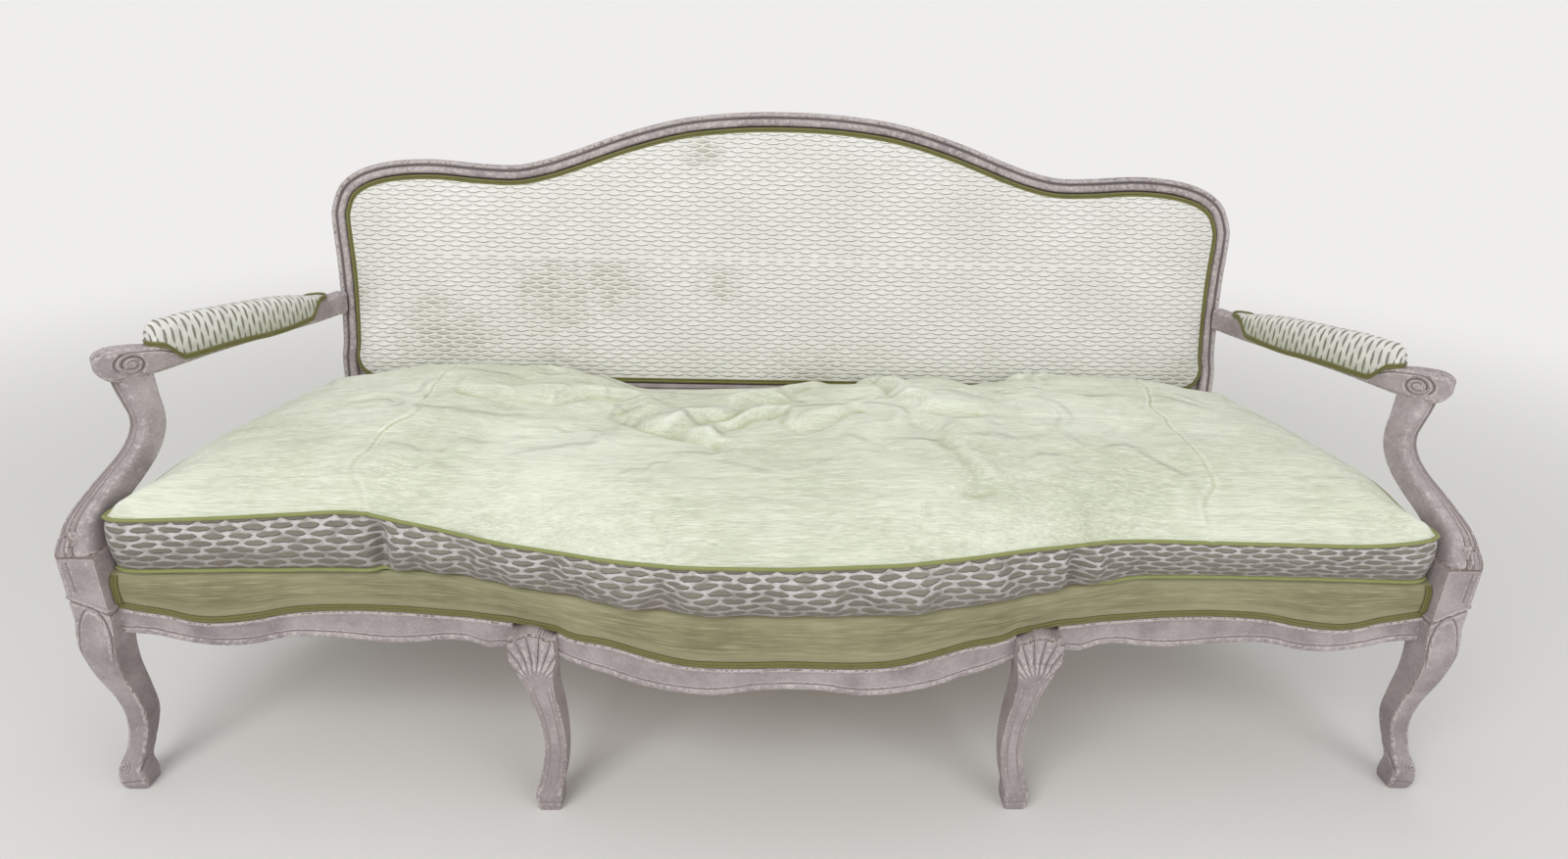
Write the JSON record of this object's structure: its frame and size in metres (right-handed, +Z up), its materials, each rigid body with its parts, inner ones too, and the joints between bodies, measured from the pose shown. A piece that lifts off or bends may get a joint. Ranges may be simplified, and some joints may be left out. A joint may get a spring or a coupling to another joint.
{
  "type": "cabriole sofa",
  "caption": "Long painted sofa with cabriole legs, serpentine seat rail, arched padded back, scrolled padded arms and one loose cushion that slides out forwards.",
  "frame": {"origin": "on the floor, under the middle of the sofa's bounding box", "axes": "+Z up, +Y towards the back of the sofa, +X to the right of someone who faces the seat"},
  "size_m": [2.0622, 0.7394, 0.9788],
  "materials": {
    "painted_wood": "aged grey-white paint, rubbed brown on the edges",
    "bare_wood": "unpainted beech",
    "jute": "woven jute",
    "seat_border_cloth": "olive strie weave",
    "outside_back_cloth": "pale green strie weave",
    "cut_velvet": "cut velvet of small staggered ovals",
    "gimp_braid": "olive braid",
    "cushion_cloth": "pale green strie top over a velvet boxing",
    "piping_cord": "yellow-olive covered cord"
  },
  "bodies": {
    "frame": {"front_leg_right": "painted_wood", "front_leg_left": "painted_wood", "mid_front_leg_right": "painted_wood", "mid_front_leg_left": "painted_wood", "back_post_right": "painted_wood", "back_post_left": "painted_wood", "mid_rear_leg_right": "painted_wood", "mid_rear_leg_left": "painted_wood", "front_rail_right": "painted_wood", "front_rail_left": "painted_wood", "front_rail_centre": "painted_wood", "side_rail_right": "painted_wood", "side_rail_left": "painted_wood", "rear_rail": "painted_wood", "crest_rail": "painted_wood", "lower_back_rail": "painted_wood", "arm_right": "painted_wood", "arm_left": "painted_wood", "arm_support_right": "painted_wood", "arm_support_left": "painted_wood", "seat_cross_bar_right": "bare_wood", "seat_cross_bar_left": "bare_wood", "front_corner_block_right": "bare_wood", "front_corner_block_left": "bare_wood", "rear_corner_block_right": "bare_wood", "rear_corner_block_left": "bare_wood", "back_upright_right": "bare_wood", "back_upright_left": "bare_wood", "seat_webbing": "jute", "seat_hessian": "jute", "back_webbing": "jute", "back_hessian": "jute", "seat_deck": "seat_border_cloth", "outside_back": "outside_back_cloth", "back_pad": "cut_velvet", "arm_pad_right": "cut_velvet", "arm_pad_left": "cut_velvet", "seat_gimp_front": "gimp_braid", "seat_gimp_right": "gimp_braid", "seat_gimp_left": "gimp_braid", "corner_gimp_right": "gimp_braid", "corner_gimp_left": "gimp_braid", "back_gimp": "gimp_braid", "outside_back_gimp": "gimp_braid", "arm_gimp_right": "gimp_braid", "arm_gimp_left": "gimp_braid", "crest_peg_right": "bare_wood", "crest_peg_left": "bare_wood", "lower_rail_peg_right": "bare_wood", "lower_rail_peg_left": "bare_wood", "inner_leg_peg_right": "bare_wood", "inner_leg_peg_left": "bare_wood", "outer_leg_peg_right": "bare_wood", "outer_leg_peg_left": "bare_wood"},
    "cushion": {"seat_cushion": "cushion_cloth", "cushion_piping_top": "piping_cord", "cushion_piping_bottom": "piping_cord"}
  },
  "joints": [
    {"name": "cushion_slide", "type": "slide", "parent": "frame", "child": "cushion", "axis": [0, -0.9684, 0.2496], "range_m": [0, 0.75]}
  ]
}
